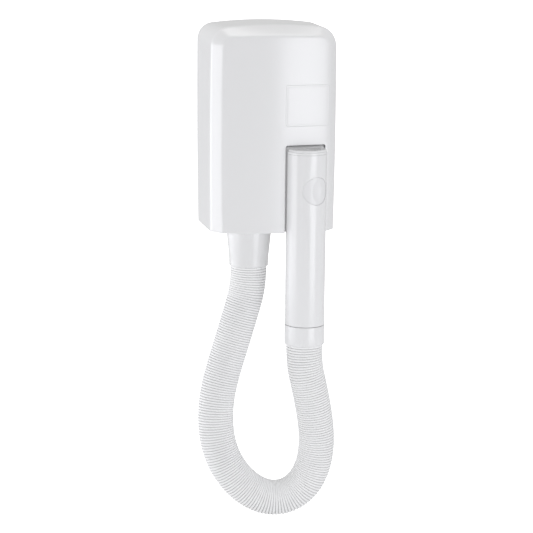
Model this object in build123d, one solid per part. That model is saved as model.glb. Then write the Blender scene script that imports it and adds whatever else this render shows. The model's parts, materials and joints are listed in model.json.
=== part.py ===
"""Wall-hung hair dryer with a hose and a docked handset, as an assembly of separate pieces.

Frame: the wall is the plane y = 0, the dryer stands out of it towards -Y, +X is to the right, +Z is up.
The origin is the middle of the wall plate's back face. Lengths are in millimetres.
"""

from build123d import *
import os
from math import acos, cos, degrees, pi, radians, sin, tan

os.makedirs("parts", exist_ok=True)

# Housing: its foot's height, wall, and the depths of the ridge round it and of the bowed front.
FOOT = -121.5
WALL = 2.5
SIDE_DEPTH = 81.4
FRONT_DEPTH = 105.7
BOW_RADIUS = 218.0
# Its outline at the wall, at the ridge and at the front: half width at the widest, at the foot and how far
# the shoulder leans in, height of the top, radius of the top's arch, radius of the top corners.
AT_WALL = (77.0, 75.0, 0.0, 122.0, 500.0, 20.0)
AT_RIDGE = (75.5, 74.6, 1.0, 121.0, 700.0, 24.0)
AT_FRONT = (56.9, 55.5, 0.5, 109.9, 250.0, 9.0)
BELLY_HEIGHT = 30.4

# Handset: a straight tube hanging on end in the dock.
HAND_X, HAND_Y = 35.3, -105.0
HAND_R = 23.5
COLLAR_R = 23.8
HAND_WALL = 2.0
HAND_TOP = -21.9
CAP_HEIGHT, CAP_LIP, CAP_BORE_R = 5.5, 2.8, 18.5
GRILLE_BAR, GRILLE_GAP, GRILLE_HUB_R = 2.1, 1.0, 3.0
HAND_SPLIT = -231.0
HAND_FOOT = -254.8
SPLIT_GAP = 0.4

# Dock: the straight-sided channel in the front that the handset sits in.
DOCK_LEFT, DOCK_RIGHT = 9.8, 59.2
DOCK_TOP = -18.0
DOCK_BACK = -56.0
DOCK_WALL = 2.0
DOCK_CORNER = 2.5

# Thumb button on the handset, turned to the right of the front.
BUTTON_TURN = 20.0
BUTTON_Z = -69.3
BUTTON_R = 16.2
BUTTON_HOLE_R = 16.8
BUTTON_DISH_R, BUTTON_DISH_DEPTH = 60.0, 1.2

# Air outlet on the left: heater tube over a tapering hose socket.
DUCT_X, DUCT_Y = -24.0, -60.0
SOCKET_TOP_R, SOCKET_FOOT_R = 27.0, 23.5
SOCKET_BORE_R = 21.3
SOCKET_FOOT = -166.7
HEATER_TOP = -44.0
HEATER_R = 26.3

# Hose: outer radius and wall of the plain tube that stands for the ribbed one.
HOSE_R = 21.5
HOSE_WALL = 1.5
CUFF_IN_R = 17.8

# Fan: axis along Y.
FAN_X, FAN_Z = 8.0, 40.0
SCROLL_FRONT, SCROLL_BACK = -81.0, -39.0
SCROLL_WALL = 2.0
SCROLL_START_R = 44.0
OUTLET_FOOT = -30.0
IMPELLER_R = 40.0
BLADES = 24
SHAFT_R = 1.6
RUNNING = 0.05

# Wall plate.
PLATE = 3.0
PLATE_GAP = 0.4
WALL_HOLE_R = 2.5
WALL_HOLE_X, WALL_HOLE_Z = 45.0, 95.0
GROMMET_X, GROMMET_Z = 50.0, -70.0
GROMMET_R, CABLE_R = 9.0, 4.0
HOOK_X, HOOK_Z = 30.0, 98.0
FOOT_SCREW_X, FOOT_SCREW_Y = 62.0, -9.0

# Blank plate over the unused socket place, cut to the bow of the front.
BLANK_LEFT, BLANK_RIGHT = 9.3, 63.0
BLANK_FOOT, BLANK_TOP = 4.2, 52.2
BLANK_GAP = 0.35
BLANK_CORNER = 3.0

# Things in the dock, by height: peg, upper pad, plunger, magnet, lower pad.
PEG_Z, PEG_R, PEG_REACH = -38.0, 4.0, 7.2
BUSH_LENGTH, KEEPER_THICK = 6.2, 3.2
UPPER_PAD_Z, LOWER_PAD_Z, PAD_HEIGHT = -49.0, -89.0, 6.0
PLUNGER_Z, PLUNGER_R, PLUNGER_TRAVEL = -58.0, 3.0, 3.0
MAGNET_Z, MAGNET_R = -72.0, 6.0
DOCK_CLEAR = 0.4

# Motor, along Y behind the fan.
MOTOR_R, MOTOR_FRONT, MOTOR_BACK = 20.0, -39.0, -14.0
BUSH_R = 4.0

INSIDE_FOOT = FOOT + WALL
HAND_BACK = HAND_Y + HAND_R
FAR = 400.0


def block(x0, x1, y0, y1, z0, z1):
    """A box between two values on each axis."""
    middle = Pos((x0 + x1) / 2, (y0 + y1) / 2, (z0 + z1) / 2)
    return middle * Box(abs(x1 - x0), abs(y1 - y0), abs(z1 - z0))


def rod(x, z, y0, y1, r):
    """A round bar along Y."""
    return Pos(x, (y0 + y1) / 2, z) * Rot(90, 0, 0) * Cylinder(r, abs(y1 - y0))


def post(x, y, z0, z1, r):
    """A round bar along Z."""
    return Pos(x, y, (z0 + z1) / 2) * Cylinder(r, abs(z1 - z0))


def ring_z(x, y, z0, z1, r_out, r_in):
    return post(x, y, z0, z1, r_out) - post(x, y, z0, z1, r_in)


def ring_y(x, z, y0, y1, r_out, r_in):
    return rod(x, z, y0, y1, r_out) - rod(x, z, y0, y1, r_in)


def upright(sketch, y):
    """A flat sketch stood up parallel to the wall, at a depth; it is extruded towards the front."""
    return Pos(0, y, 0) * (Plane.XZ * sketch)


def hand_post(z0, z1, r):
    """A round bar on the handset's axis."""
    return post(HAND_X, HAND_Y, z0, z1, r)


def hand_ring(z0, z1, r_out, r_in):
    return ring_z(HAND_X, HAND_Y, z0, z1, r_out, r_in)


def spring(plane, radius, wire, height, turns):
    """A round-wire compression spring that stands on the plane, along its normal."""
    line = Helix(pitch=height / turns, height=height, radius=radius)
    section = Plane(line @ 0, z_dir=line % 0) * Circle(wire)
    return plane * sweep(section, path=line)


# ---------------------------------------------------------------- housing


def outline(kind, inset):
    """The housing from the front: straight foot, gently bellied sides, arched top, round top corners."""
    half, foot_half, lean, top, arch, corner = kind
    foot, top, half, foot_half = FOOT + inset, top - inset, half - inset, foot_half - inset
    shoulder = (half - lean, top - half * half / (2 * arch))
    edges = [
        Line((-foot_half, foot), (foot_half, foot)),
        ThreePointArc((foot_half, foot), (half, BELLY_HEIGHT), shoulder),
        ThreePointArc(shoulder, (0, top), (-shoulder[0], shoulder[1])),
        ThreePointArc((-shoulder[0], shoulder[1]), (-half, BELLY_HEIGHT), (-foot_half, foot)),
    ]
    face = make_face(edges)
    return fillet(face.vertices().sort_by(Axis.Y)[-2:], corner - 0.5 * inset)


def housing_body(inset):
    """The housing as a solid, or inset all round by its wall as the solid of its hollow."""
    base, ridge, front = [Plane.XZ * outline(kind, inset) for kind in (AT_WALL, AT_RIDGE, AT_FRONT)]
    ridge = Pos(0, -SIDE_DEPTH + 0.5 * inset, 0) * ridge
    box = loft([base, ridge], ruled=True)
    band = loft([ridge, Pos(0, -FRONT_DEPTH, 0) * front], ruled=True)
    bow = Pos(0, BOW_RADIUS - FRONT_DEPTH, 0) * Cylinder(BOW_RADIUS - inset, FAR)
    return (box + band) & bow


def dock_space(grow):
    """The dock's hollow with its top corners rounded, grown by a wall or a gap."""
    space = block(DOCK_LEFT - grow, DOCK_RIGHT + grow, DOCK_BACK + grow, -FAR, -FAR, DOCK_TOP + grow)
    edges = space.edges().filter_by(Axis.Y).sort_by(Axis.Z)[-2:]
    return fillet(edges, DOCK_CORNER + grow)


def blank_prism(gap):
    """The straight prism that cuts the blank plate, or its pocket, out of the bowed front."""
    prism = block(BLANK_LEFT - gap, BLANK_RIGHT + gap, -80, -120, BLANK_FOOT - gap, BLANK_TOP + gap)
    return fillet(prism.edges().filter_by(Axis.Y), BLANK_CORNER + gap)


def intake_slots():
    """The row of air slots in the floor, near the wall."""
    return [block(x - 1.5, x + 1.5, -29, -13, -FAR, INSIDE_FOOT + 1) for x in range(-54, 55, 6)]


def front_cover():
    """The moulded shell: one skin with the dock, the blank's pocket, the air slots and the socket's hole."""
    hollow = housing_body(WALL)
    cover = housing_body(0) - hollow
    cover -= dock_space(0) & block(-FAR, FAR, DOCK_BACK, -FAR, -FAR, FAR)
    floor_cut = dock_space(DOCK_WALL + PLATE_GAP / 2) & housing_body(WALL / 2)
    cover -= floor_cut & block(-FAR, FAR, 0, -FAR, -FAR, INSIDE_FOOT + 1)
    cover -= dock_space(DOCK_WALL + PLATE_GAP / 2) & block(-FAR, FAR, 0, -90, -FAR, INSIDE_FOOT + 1)
    cover -= blank_prism(BLANK_GAP)
    cover += blank_ledge()
    cover -= post(DUCT_X, DUCT_Y, -FAR / 2, INSIDE_FOOT + 1, SOCKET_TOP_R - 0.1)
    cover -= intake_slots()
    for x in (-FOOT_SCREW_X, FOOT_SCREW_X):
        cover -= post(x, FOOT_SCREW_Y, -130, -110, 1.7)
        cover -= post(x, FOOT_SCREW_Y, -130, FOOT + 1.7, 3.3)
    for x in (-HOOK_X, HOOK_X):
        cover += block(x - 8, x + 8, -12, -14.5, HOOK_Z, FAR) & hollow
    return cover


def blank_ledge():
    """The lip behind the blank plate that it rests on."""
    lip = blank_prism(BLANK_GAP + 1.5) - blank_prism(-2.5)
    return lip & (housing_body(WALL) - housing_body(WALL + 1.2))


def blank_plate():
    """A loose cover for the unused socket place, as thick as the wall it fills."""
    return (housing_body(0) - housing_body(WALL - 0.1)) & blank_prism(0)


def cover_screws():
    screws = []
    for x in (-FOOT_SCREW_X, FOOT_SCREW_X):
        head = post(x, FOOT_SCREW_Y, FOOT + 0.2, FOOT + 1.7, 3.0)
        head -= block(x - 2.2, x + 2.2, FOOT_SCREW_Y - 0.4, FOOT_SCREW_Y + 0.4, -130, FOOT + 0.9)
        screws.append(head + post(x, FOOT_SCREW_Y, FOOT + 1.6, -111, 1.5))
    return Compound(screws)


def wall_plate():
    """The moulded plate that is screwed to the wall, with bosses for what is inside."""
    inset = WALL + PLATE_GAP
    plate = extrude(Plane.XZ * outline(AT_WALL, inset), amount=PLATE)
    for x in (-WALL_HOLE_X, WALL_HOLE_X):
        for z in (-WALL_HOLE_Z, WALL_HOLE_Z):
            plate -= rod(x, z, 1, -PLATE - 1, WALL_HOLE_R)
    plate -= rod(GROMMET_X, GROMMET_Z, 1, -PLATE - 1, GROMMET_R)
    for x in (-FOOT_SCREW_X, FOOT_SCREW_X):
        plate += block(x - 5, x + 5, -PLATE, -15, INSIDE_FOOT + PLATE_GAP, -110)
        plate -= post(x, FOOT_SCREW_Y, -125, -111, 1.5)
    for x in (-HOOK_X, HOOK_X):
        plate += block(x - 8, x + 8, -PLATE, -17, HOOK_Z - 4, HOOK_Z - 1)
        plate += block(x - 8, x + 8, -14.8, -17, HOOK_Z - 4, HOOK_Z + 6)
    for x, z in scroll_bosses():
        plate += rod(x, z, -PLATE, SCROLL_BACK, 4)
    for x, z in ((16, -108), (56, -30)):
        plate += rod(x, z, -PLATE, DOCK_BACK + DOCK_WALL, 4)
    for x in (-62, -32):
        for z in (-6, 46):
            plate += rod(x, z, -PLATE, -10, 2.5)
    return plate


def scroll_bosses():
    return [(FAN_X + 38 * cos(radians(a)), FAN_Z + 38 * sin(radians(a))) for a in (-30, 60, 150)]


def cable_grommet():
    grommet = ring_y(GROMMET_X, GROMMET_Z, 0, -5, GROMMET_R, CABLE_R)
    return grommet + ring_y(GROMMET_X, GROMMET_Z, -PLATE, -5, GROMMET_R + 2, CABLE_R)


def intake_filter():
    """The mesh pad over the air slots, as a frame with bars."""
    pad = block(-56.5, 56.5, -31, -11, INSIDE_FOOT, INSIDE_FOOT + 2)
    for x in range(-54, 55, 3):
        pad -= block(x - 1.1, x + 1.1, -20.5, -13, -125, -110)
        pad -= block(x - 1.1, x + 1.1, -29, -21.5, -125, -110)
    return pad


# ---------------------------------------------------------------- dock


def cradle_channel():
    """The channel's own liner: two sides, a top and a back, cut to the inside of the cover."""
    liner = dock_space(DOCK_WALL) & block(-FAR, FAR, 0, -FAR, FOOT, FAR)
    liner &= housing_body(WALL + 0.2) + block(0, 75, -40, -88, FOOT, FOOT + 10)
    liner -= dock_space(0)
    liner -= rod(HAND_X, PEG_Z, -50, -60, PEG_R)
    liner -= rod(HAND_X, PLUNGER_Z, -50, -60, PLUNGER_R + RUNNING)
    return liner


def saddle_pads():
    """Two soft pads with a hollow that the handset rests against."""
    pads = []
    for z in (UPPER_PAD_Z, LOWER_PAD_Z):
        half = PAD_HEIGHT / 2
        pad = block(HAND_X - 16, HAND_X + 16, DOCK_BACK, HAND_Y + 18, z - half, z + half)
        pads.append(pad - hand_post(z - half - 1, z + half + 1, HAND_R + DOCK_CLEAR))
    return Compound(pads)


def hanging_peg():
    peg = rod(HAND_X, PEG_Z, DOCK_BACK + DOCK_WALL, HAND_BACK - PEG_REACH, PEG_R)
    peg = chamfer(peg.edges().sort_by(Axis.Y)[0], 1.0)
    return peg + rod(HAND_X, PEG_Z, DOCK_BACK + DOCK_WALL, DOCK_BACK + DOCK_WALL + 2, 7)


def dock_magnet():
    return rod(HAND_X, MAGNET_Z, DOCK_BACK, HAND_BACK + DOCK_CLEAR, MAGNET_R)


def dock_plunger():
    """The feeler that the docked handset holds back."""
    tip = HAND_BACK + DOCK_CLEAR
    stop = DOCK_BACK + DOCK_WALL + 0.3 + PLUNGER_TRAVEL
    plunger = rod(HAND_X, PLUNGER_Z, stop, tip, PLUNGER_R)
    plunger = fillet(plunger.edges().sort_by(Axis.Y)[0], 1.2)
    plunger += rod(HAND_X, PLUNGER_Z, stop, stop + 2, 5)
    return plunger + rod(HAND_X, PLUNGER_Z, stop + 2, -41.2, 2)


def dock_switch():
    box = block(HAND_X - 10, HAND_X + 10, -40.3, -28, PLUNGER_Z - 8, PLUNGER_Z + 8)
    box = fillet(box.edges().filter_by(Axis.Y), 1)
    box += block(HAND_X - 2, HAND_X + 2, -28, -24, PLUNGER_Z + 3, PLUNGER_Z + 4)
    return box + block(HAND_X - 2, HAND_X + 2, -28, -24, PLUNGER_Z - 4, PLUNGER_Z - 3)


def plunger_spring():
    """Between the switch and the plunger's collar."""
    base = Plane((HAND_X, -40.8, PLUNGER_Z), x_dir=(1, 0, 0), z_dir=(0, -1, 0))
    return spring(base, 3.6, 0.35, 7.1, 5)


# ---------------------------------------------------------------- fan and motor


def scroll_outline(grow):
    """A spiral round the fan that runs straight down into the outlet on its left."""
    outlet_half = 25 + grow
    right = DUCT_X + outlet_half
    start_r = SCROLL_START_R + grow
    end_r = FAN_X - DUCT_X + outlet_half
    start = -degrees(acos((right - FAN_X) / start_r))

    def at(share):
        angle = radians(start + share * (180 - start))
        r = start_r + share * (end_r - start_r)
        return (FAN_X + r * cos(angle), FAN_Z + r * sin(angle))

    spans = 5
    edges = [
        ThreePointArc(at(i / spans), at((i + 0.5) / spans), at((i + 1) / spans)) for i in range(spans)
    ]
    foot = OUTLET_FOOT
    edges += [Polyline(at(1), (at(1)[0], foot), (right, foot), at(0))]
    return make_face(edges)


def fan_scroll():
    """The fan's casing: a spiral wall with its back, open in front and at the outlet."""
    depth = SCROLL_BACK - SCROLL_FRONT - SCROLL_WALL
    outside = extrude(upright(scroll_outline(SCROLL_WALL), SCROLL_BACK), amount=depth)
    casing = outside - extrude(upright(scroll_outline(0), SCROLL_BACK - SCROLL_WALL), amount=FAR)
    back = SCROLL_BACK - SCROLL_WALL
    casing -= block(DUCT_X - 25, DUCT_X + 25, back, -FAR, OUTLET_FOOT - 5, OUTLET_FOOT + 5)
    casing -= rod(FAN_X, FAN_Z, SCROLL_BACK + 1, SCROLL_BACK - 5, 6)
    for x in motor_screw_places():
        casing -= rod(x, FAN_Z, SCROLL_BACK + 1, SCROLL_BACK - 5, 1.4)
    return casing


def scroll_lid():
    """The casing's front, with the fan's inlet and its lip."""
    lid = extrude(upright(scroll_outline(SCROLL_WALL), SCROLL_FRONT + SCROLL_WALL), amount=SCROLL_WALL)
    lid += rod(FAN_X, FAN_Z, SCROLL_FRONT + SCROLL_WALL, SCROLL_FRONT - 3, 30)
    return lid - rod(FAN_X, FAN_Z, -70, -90, 27)


def impeller():
    """Back plate, hub, a ring of forward-curved blades and a front ring, in one piece."""
    wheel = rod(FAN_X, FAN_Z, -44, -45.5, IMPELLER_R) + rod(FAN_X, FAN_Z, -44, -60, 7)
    blade = Pos(34.5, 0, 0) * Rot(0, 0, 35) * Box(11, 1.2, 31)
    for i in range(BLADES):
        place = Pos(FAN_X, -60.5, FAN_Z) * Rot(90, 0, 0) * Rot(0, 0, 360 * i / BLADES)
        wheel += place * blade
    wheel += ring_y(FAN_X, FAN_Z, -75, -76.5, IMPELLER_R, 28.5)
    return wheel - rod(FAN_X, FAN_Z, -40, -61, SHAFT_R)


def motor_screw_places():
    return (FAN_X - 12, FAN_X + 12)


def motor_screws():
    screws = [
        rod(x, FAN_Z, SCROLL_BACK - SCROLL_WALL, SCROLL_BACK - 3.4, 2.6)
        + rod(x, FAN_Z, SCROLL_BACK - SCROLL_WALL, SCROLL_BACK + 2, 1.4)
        for x in motor_screw_places()
    ]
    return Compound(screws)


def motor_can():
    can = rod(FAN_X, FAN_Z, MOTOR_FRONT, MOTOR_BACK, MOTOR_R)
    can = fillet(can.edges().sort_by(Axis.Y)[0], 1)
    can -= rod(FAN_X, FAN_Z, MOTOR_FRONT + 1.8, MOTOR_BACK + 1, MOTOR_R - 1.2)
    can -= rod(FAN_X, FAN_Z, MOTOR_FRONT - 1, MOTOR_BACK, BUSH_R)
    for x in motor_screw_places():
        can -= rod(x, FAN_Z, MOTOR_FRONT - 1, MOTOR_FRONT + 3, 1.4)
    return can


def motor_magnets():
    ring = ring_y(FAN_X, FAN_Z, MOTOR_FRONT + 5, MOTOR_BACK - 5, MOTOR_R - 1.2, 14.6)
    return ring - block(-FAR, FAR, -FAR, 0, FAN_Z - 6, FAN_Z + 6)


def motor_end_cap():
    cap = rod(FAN_X, FAN_Z, MOTOR_BACK, MOTOR_BACK + 2.5, MOTOR_R)
    cap += rod(FAN_X, FAN_Z, MOTOR_BACK, MOTOR_BACK + 5, 6)
    return cap - rod(FAN_X, FAN_Z, MOTOR_BACK - 1, MOTOR_BACK + 3.8, BUSH_R)


def motor_bushes():
    front = ring_y(FAN_X, FAN_Z, MOTOR_FRONT, MOTOR_FRONT + 4, BUSH_R, SHAFT_R + RUNNING)
    rear = ring_y(FAN_X, FAN_Z, MOTOR_BACK - 1, MOTOR_BACK + 3.5, BUSH_R, SHAFT_R + RUNNING)
    return Compound([front, rear])


def motor_brushes():
    brushes = [
        block(FAN_X + 5.0 * s, FAN_X + 9.0 * s, MOTOR_BACK, MOTOR_BACK - 5, FAN_Z - 1.5, FAN_Z + 1.5)
        for s in (-1, 1)
    ]
    return Compound(brushes)


def motor_rotor():
    """Shaft, wound armature with three slots, and commutator."""
    rotor = rod(FAN_X, FAN_Z, MOTOR_BACK + 3.2, -60, SHAFT_R)
    armature = rod(FAN_X, FAN_Z, -33, -21, 13)
    for i in range(3):
        slot = Pos(FAN_X, -27, FAN_Z) * Rot(0, 120 * i + 30, 0) * Pos(11, 0, 0) * Box(6, 14, 2.4)
        armature -= slot
    return rotor + armature + rod(FAN_X, FAN_Z, -19.6, -16.6, 4.6)


# ---------------------------------------------------------------- duct, heater and socket


def duct_adapter():
    """From the fan's square outlet to the round heater tube."""
    top = Plane((DUCT_X, DUCT_Y, OUTLET_FOOT))
    foot = Plane((DUCT_X, DUCT_Y, HEATER_TOP))
    outside = loft([top * Rectangle(54, 42), foot * Circle(HEATER_R + 1)], ruled=True)
    inside = loft([top * Rectangle(50, 38), foot * Circle(HEATER_R - 1)], ruled=True)
    return outside - inside


def heater_tube():
    return ring_z(DUCT_X, DUCT_Y, INSIDE_FOOT + 3.5, HEATER_TOP, HEATER_R, HEATER_R - 1)


def heater_cross():
    """Two crossing boards that carry the windings."""
    cross = block(DUCT_X - 18.4, DUCT_X + 18.4, DUCT_Y - 0.5, DUCT_Y + 0.5, -112, -50)
    cross += block(DUCT_X - 0.5, DUCT_X + 0.5, DUCT_Y - 18.4, DUCT_Y + 18.4, -112, -50)
    cross += block(DUCT_X - 25.2, DUCT_X + 25.2, DUCT_Y - 0.5, DUCT_Y + 0.5, -112, -104)
    return cross


def heater_coils():
    return spring(Plane((DUCT_X, DUCT_Y, -101)), 19.0, 0.45, 45, 9)


def thermostat():
    disc = post(DUCT_X + 9, DUCT_Y + 9, -62, -57, 5)
    return disc + block(DUCT_X + 0.5, DUCT_X + 9, DUCT_Y + 7, DUCT_Y + 11, -57, -55)


def thermal_fuse():
    fuse = post(DUCT_X - 6, DUCT_Y - 3, -90, -76, 2)
    return fuse + post(DUCT_X - 6, DUCT_Y - 3, -96, -70, 0.4)


def hose_socket():
    """The tapering spigot under the floor, flanged inside the housing."""
    profile = Polyline(
        (SOCKET_BORE_R, SOCKET_FOOT), (SOCKET_FOOT_R, SOCKET_FOOT), (SOCKET_TOP_R, FOOT),
        (SOCKET_TOP_R - 0.3, FOOT), (SOCKET_TOP_R - 0.3, INSIDE_FOOT), (29, INSIDE_FOOT),
        (29, INSIDE_FOOT + 3.5), (SOCKET_BORE_R, INSIDE_FOOT + 3.5), (SOCKET_BORE_R, SOCKET_FOOT),
    )
    socket = revolve(Plane.XZ * make_face(profile), axis=Axis.Z)
    socket = fillet(socket.edges().sort_by(Axis.Z)[0:2].sort_by(SortBy.LENGTH)[-1], 1.0)
    return Pos(DUCT_X, DUCT_Y, 0) * socket


def hose_cuff_wall():
    return ring_z(DUCT_X, DUCT_Y, SOCKET_FOOT, SOCKET_FOOT + 34, SOCKET_BORE_R, CUFF_IN_R)


# ---------------------------------------------------------------- electrics


def terminal_block():
    body = block(-18, 20, -PLATE, -16, -100, -86)
    for x in (-12, 1, 14):
        body -= rod(x, -93, -10, -20, 2.5)
        body -= block(x - 2, x + 2, -12, -7, -101, -97)
    return body


def control_board():
    return block(-66, -28, -10, -11.6, -10, 50)


def board_parts():
    """Two capacitors, a relay, a cooled switch and a plug socket."""
    parts = [
        rod(-40, 36, -11.6, -30, 7), rod(-58, 38, -11.6, -24, 5),
        block(-62, -46, -11.6, -27, -4, 16), block(-40, -36, -11.6, -30, -4, 18),
        block(-60, -44, -11.6, -20, 22, 28),
    ]
    return Compound(parts)


# ---------------------------------------------------------------- handset


def button_plane():
    turn = radians(BUTTON_TURN)
    right, out = (cos(turn), sin(turn), 0), (sin(turn), -cos(turn), 0)
    return Plane((HAND_X, HAND_Y, BUTTON_Z), x_dir=right, z_dir=out)


def handset_tube():
    tube = hand_ring(HAND_SPLIT, HAND_TOP - CAP_HEIGHT, HAND_R, HAND_R - HAND_WALL)
    tube -= rod(HAND_X, PEG_Z, HAND_BACK + 5, HAND_BACK - 5, PEG_R + RUNNING)
    hole = Pos(0, 0, HAND_R) * Cylinder(BUTTON_HOLE_R, 2 * HAND_R - 10)
    return tube - button_plane() * hole


def nozzle_cap():
    """The ring over the tube's open end, with its lip inside the tube."""
    cap_foot = HAND_TOP - CAP_HEIGHT
    cap = hand_ring(cap_foot, HAND_TOP, HAND_R, CAP_BORE_R)
    cap = fillet(cap.edges().sort_by(Axis.Z)[-2:], 1.0)
    return cap + hand_ring(cap_foot - CAP_LIP, cap_foot, HAND_R - HAND_WALL, CAP_BORE_R)


def nozzle_grille():
    """Close rings round a hub, held by three bars across the outlet."""
    z0, z1 = HAND_TOP - 2.2, HAND_TOP - 0.4
    grille = hand_post(z0, z1, GRILLE_HUB_R)
    for i in range(5):
        r = CAP_BORE_R - i * (GRILLE_BAR + GRILLE_GAP)
        grille += hand_ring(z0, z1, r, r - GRILLE_BAR)
    for i in range(3):
        bar = Box(2 * CAP_BORE_R - 0.6, 1.4, z1 - z0)
        grille += Pos(HAND_X, HAND_Y, (z0 + z1) / 2) * Rot(0, 0, 60 * i) * bar
    return grille


def peg_bush():
    inside = HAND_BACK - HAND_WALL
    bush = ring_y(HAND_X, PEG_Z, inside, inside - BUSH_LENGTH, 6.5, PEG_R + RUNNING)
    return bush & hand_post(PEG_Z - 10, PEG_Z + 10, HAND_R - HAND_WALL)


def keeper_plate():
    """The steel piece inside the handset that the dock's magnet holds."""
    inside = HAND_BACK - HAND_WALL
    keeper = rod(HAND_X, MAGNET_Z, inside, inside - KEEPER_THICK, 7)
    return keeper & hand_post(MAGNET_Z - 10, MAGNET_Z + 10, HAND_R - HAND_WALL)


def thumb_button():
    """A round key whose face follows the tube, a little dished, on a guided stem."""
    face_r = HAND_R - 0.3
    key = Cylinder(BUTTON_R, 2 * HAND_R)
    key = Pos(0, 0, HAND_R) * key & Rot(90, 0, 0) * (Cylinder(face_r, 60) - Cylinder(face_r - 2.5, 60))
    key -= Pos(0, 0, face_r - BUTTON_DISH_DEPTH + BUTTON_DISH_R) * Sphere(BUTTON_DISH_R)
    stem_foot, stem_top = 5.5, face_r - 2.1
    stem = Pos(0, 0, (stem_foot + stem_top) / 2) * Cylinder(5, stem_top - stem_foot)
    return button_plane() * (key + stem)


def switch_bracket():
    """A bridge across the tube that guides the stem and holds the switch between its legs."""
    bridge = Pos(0, 0, 7.5) * Box(44, 22, 2) - Cylinder(5 + RUNNING, 40)
    for s in (-1, 1):
        bridge += Pos(7.1 * s, 0, 1) * Box(2, 18, 12)
    return button_plane() * (bridge & Rot(90, 0, 0) * Cylinder(HAND_R - HAND_WALL, 60))


def hand_switch():
    body = Pos(0, 0, -1.6) * Box(12.2, 17, 10.4)
    body = fillet(body.edges().filter_by(Axis.Z), 0.8)
    return button_plane() * body


def button_spring():
    return button_plane() * spring(Plane((0, 0, 9.0)), 7.0, 0.45, 9.0, 4)


def swivel_neck():
    """The sleeve glued into the tube's foot that the collar turns on."""
    neck = hand_ring(HAND_SPLIT, HAND_SPLIT + 16, HAND_R - HAND_WALL, 18.6)
    neck += hand_ring(HAND_SPLIT - 12, HAND_SPLIT, 20.9, 18.6)
    return neck - hand_ring(HAND_SPLIT - 9.2, HAND_SPLIT - 8, 22, 20.2)


def snap_ring():
    ring = hand_ring(HAND_SPLIT - 9.1, HAND_SPLIT - 8.1, 21.4, 20.2)
    return ring - block(HAND_X - 2, HAND_X + 2, HAND_Y, HAND_Y - 30, -FAR, 0)


def swivel_collar():
    top = HAND_SPLIT - SPLIT_GAP
    collar = hand_post(HAND_FOOT, top, COLLAR_R)
    collar = fillet(collar.edges().sort_by(Axis.Z)[0], 1.2)
    collar -= hand_post(HAND_SPLIT - 12.6, top + 1, 20.9 + RUNNING)
    collar -= hand_post(HAND_FOOT - 1, HAND_SPLIT - 12, SOCKET_BORE_R)
    return collar - hand_post(HAND_SPLIT - 9.5, HAND_SPLIT - 7.7, 21.8)


def hose_cuff_hand():
    return hand_ring(HAND_FOOT, HAND_SPLIT - 12.9, SOCKET_BORE_R, CUFF_IN_R)


# ---------------------------------------------------------------- hose

HOSE_ROUTE = [
    (DUCT_X, DUCT_Y, SOCKET_FOOT), (DUCT_X, DUCT_Y, -192), (-33.3, -61.5, -224), (-44.3, -63.5, -259.5),
    (-54.8, -66, -291.5), (-63, -69, -322), (-66, -72.5, -354), (-62.3, -76, -385), (-51.5, -79.5, -411.5),
    (-33, -83, -434.5), (-8, -86.5, -449.5), (18, -90, -449.5), (38.5, -93.5, -435), (50.5, -96.5, -411),
    (54.5, -99.5, -380), (50.7, -102, -346), (43.5, -103.7, -312), (HAND_X, HAND_Y, -279),
    (HAND_X, HAND_Y, HAND_FOOT),
]


def arc_radii(route):
    """0.45 of the shorter run beside each corner, divided by the tangent of half its turn."""
    radii = []
    for before, corner, after in zip(route, route[1:], route[2:]):
        first, second = Vector(*corner) - Vector(*before), Vector(*after) - Vector(*corner)
        turn = radians(first.get_angle(second))
        radii.append(0.45 * min(first.length, second.length) / tan(turn / 2))
    return radii


def hose():
    radii = arc_radii(HOSE_ROUTE)
    print("hose arc radii:", [round(r, 1) for r in radii])
    path = FilletPolyline(*HOSE_ROUTE, radius=radii)
    start = Plane(path @ 0, z_dir=path % 0)
    tube = sweep(start * Circle(HOSE_R), path=path) - sweep(start * Circle(HOSE_R - HOSE_WALL), path=path)
    expected = pi * (HOSE_R**2 - (HOSE_R - HOSE_WALL) ** 2) * path.length
    print(f"hose length {path.length:.1f}, volume {tube.volume:.0f}, section times length {expected:.0f}")
    return tube


PARTS = [
    front_cover, wall_plate, cover_screws, blank_plate, cable_grommet, intake_filter, cradle_channel,
    saddle_pads, hanging_peg, dock_magnet, dock_plunger, dock_switch, plunger_spring, fan_scroll,
    scroll_lid, impeller, motor_can, motor_screws, motor_magnets, motor_end_cap, motor_bushes,
    motor_brushes, motor_rotor, duct_adapter, heater_tube, heater_cross, heater_coils, thermostat,
    thermal_fuse, hose_socket, hose_cuff_wall, terminal_block, control_board, board_parts,
    handset_tube, nozzle_cap, nozzle_grille, peg_bush, keeper_plate, thumb_button, switch_bracket,
    hand_switch, button_spring, swivel_neck, snap_ring, swivel_collar, hose_cuff_hand, hose,
]

for part in PARTS:
    export_step(part(), f"parts/{part.__name__}.step")
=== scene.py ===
"""Wall-hung hair dryer: the seen pieces and their finishes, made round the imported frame.

Everything is in metres. The wall is the plane y = 0, the dryer stands out of it towards -Y, and +Z is up.
Outlines are worked out in millimetres and scaled once, where a piece is made.
"""

import json
from math import cos, pi, radians, sin, sqrt, tan

import bpy
import bmesh
from mathutils import Matrix, Quaternion, Vector


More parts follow.
